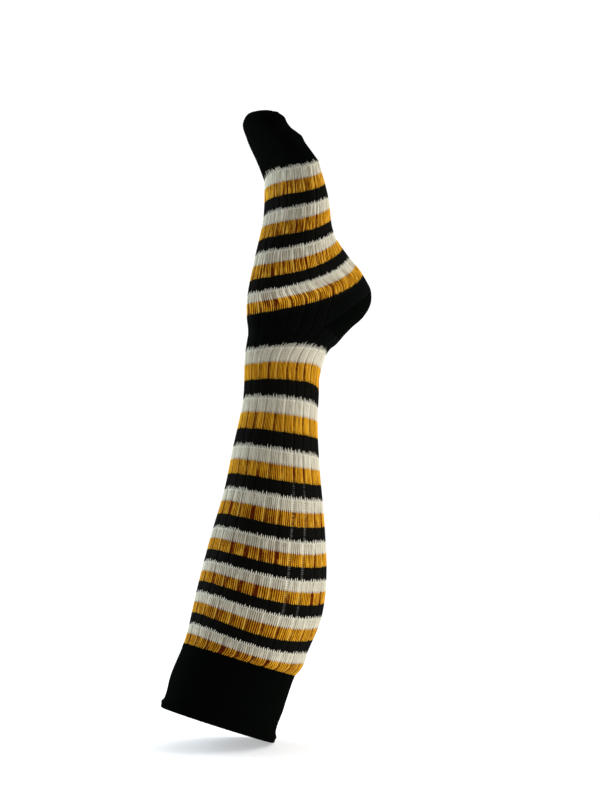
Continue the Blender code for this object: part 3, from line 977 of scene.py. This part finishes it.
# Toe cap
fade = 1 - smooth(0, toe["ribFade"], toeCourses[:, None] - footEnd)
ribbing = np.maximum(footRibbing(toeLine) * fade, 0)
courses = toeCourses[:, None] + 0 * ribbing
points, stitched = dressGrid(grids["toe"], toeLine, courses, ribbing, toe["courseHeight"])
points = closedEnd(points, toe["endLength"], toe["seamRidge"])
inside = closedEnd(innerSide("toe"), toe["endLength"] - knit["wall"], 0)
line, stitched, ribbing = addEnd(toeLine, stitched, ribbing, toe["endRows"], toe["endCourse"])
sideRows = np.arange(0, len(toePlaces), every)
endRows = np.arange(len(toePlaces), len(points))
rows = np.append(sideRows, endRows)
shell = clothShell(points, inside, line, stitched, ribbing, rows, (footEnd,))
finishShell(shell, "sockToe", toeKnit, "toe")

# Cuff, a plain double welt turned under at a round fold
fade = 1 - smooth(0, cuff["ribFade"], -legEnd - cuffCourses)[:, None]
ribbing = fade * np.ones(cuffLine.shape)
courses = cuffCourses[:, None] + 0 * ribbing
points, stitched = dressGrid(grids["cuff"], cuffLine, courses, ribbing, -cuff["courseHeight"])
inside = innerSide("cuff", cuff["wall"])
base, out, along = (grids["cuff"][part][-1] for part in ("points", "out", "along"))
along = along / np.linalg.norm(along, axis=1, keepdims=True)
relief = np.linalg.norm(points[-1] - base, axis=1)[:, None]
rollRows = []
for turn in np.linspace(0, math.pi, cuff["rollSteps"] + 1)[1:-1]:
    radius = cuff["wall"] / 2 + relief * math.cos(turn / 2)
    inward = radius * math.cos(turn) - cuff["wall"] / 2
    rollRows.append(base + along * radius * math.sin(turn) + out * inward)
points = np.concatenate([points, np.array(rollRows)])
line, stitched, ribbing = addEnd(cuffLine, stitched, ribbing, len(rollRows), cuff["rollCourse"])
rows = sparseRows(len(inside), 2 * every)
rims = (-legEnd, stitched[-1, 0])
shell = clothShell(points, inside, line, stitched, ribbing, rows, rims, strips=cuffStrips)
finishShell(shell, "sockCuff", cuffKnit, "cuff")
print("cloth made")


# Floor, light and camera

studio = {
    "floorSize": 40,
    "floorDrop": 0.5 * mm,
    "floorColour": (0.9, 0.9, 0.9),
    "floorRoughness": 0.9,
    "floorSpecular": 0.1,
    "floorGlow": 0.4,
    "worldBehind": 1.1,  # strength of the light from behind the sock, and from the camera's side
    "worldBefore": 0.125,
    "worldEdge": (-0.5, 0.35),
    "lightSize": (0.9, 1.6),
    "lights": (
        # name, place, power, colour
        ("leftLight", (-1.25, 1.2, 0.6), 28, (0.7, 0.87, 1)),
        ("rightLight", (1.15, -0.9, 0.6), 17.5, (1, 0.98, 0.95)),
    ),
    "aim": (0.055, 0, 0.27),
}

view = {
    "place": (-0.4566, -1.1499, 0.2110),
    "tilt": 93.5,
    "turn": -25,
    "lens": 62.0,
    "sensor": 36,
}


def addFloor():
    height = cadBox[0][2] - studio["floorDrop"]
    bpy.ops.mesh.primitive_plane_add(size=studio["floorSize"], location=(0, 0, height))
    floor = bpy.context.object
    floor.name = "floor"
    material = bpy.data.materials.new("paleFloor")
    material.use_nodes = True
    shader = material.node_tree.nodes["Principled BSDF"]
    shader.inputs["Base Color"].default_value = (*studio["floorColour"], 1)
    shader.inputs["Roughness"].default_value = studio["floorRoughness"]
    shader.inputs["Specular IOR Level"].default_value = studio["floorSpecular"]
    shader.inputs["Emission Color"].default_value = (1, 1, 1, 1)
    shader.inputs["Emission Strength"].default_value = studio["floorGlow"]
    floor.data.materials.append(material)


# White all round, bright where the camera sees it and behind the sock
def addWorld():
    world = bpy.data.worlds.new("studio")
    world.use_nodes = True
    nodes = Nodes(world.node_tree)
    toward = nodes.add("ShaderNodeVectorMath", operation="DOT_PRODUCT")
    nodes.join(nodes.add("ShaderNodeTexCoord").outputs["Generated"], toward.inputs[0])
    turn = math.radians(view["turn"])
    toward.inputs[1].default_value = (-math.sin(turn), math.cos(turn), 0)
    behind = nodes.ramp(toward.outputs["Value"], *studio["worldEdge"])
    change = studio["worldBehind"] - studio["worldBefore"]
    strength = nodes.timesPlus(behind, change, studio["worldBefore"])
    seen = nodes.add("ShaderNodeLightPath").outputs["Is Camera Ray"]
    strength = nodes.most(strength, nodes.times(seen, studio["worldBehind"]))
    background = world.node_tree.nodes["Background"]
    nodes.join(strength, background.inputs["Strength"])
    background.inputs["Color"].default_value = (1, 1, 1, 1)
    bpy.context.scene.world = world


def addLights():
    for name, place, power, colour in studio["lights"]:
        light = bpy.data.lights.new(name, "AREA")
        light.shape = "RECTANGLE"
        light.size, light.size_y = studio["lightSize"]
        light.energy = power
        light.color = colour
        lamp = bpy.data.objects.new(name, light)
        lamp.location = place
        toward = Vector(studio["aim"]) - lamp.location
        lamp.rotation_euler = toward.to_track_quat("-Z", "Y").to_euler()
        bpy.context.scene.collection.objects.link(lamp)


def addCamera():
    data = bpy.data.cameras.new("camera")
    data.lens = view["lens"]
    data.sensor_width = view["sensor"]
    camera = bpy.data.objects.new("camera", data)
    camera.location = view["place"]
    camera.rotation_euler = (math.radians(view["tilt"]), 0, math.radians(view["turn"]))
    bpy.context.scene.collection.objects.link(camera)
    bpy.context.scene.camera = camera


addFloor()
addWorld()
addLights()
addCamera()
bpy.context.scene.view_settings.view_transform = "Standard"
print("studio made")
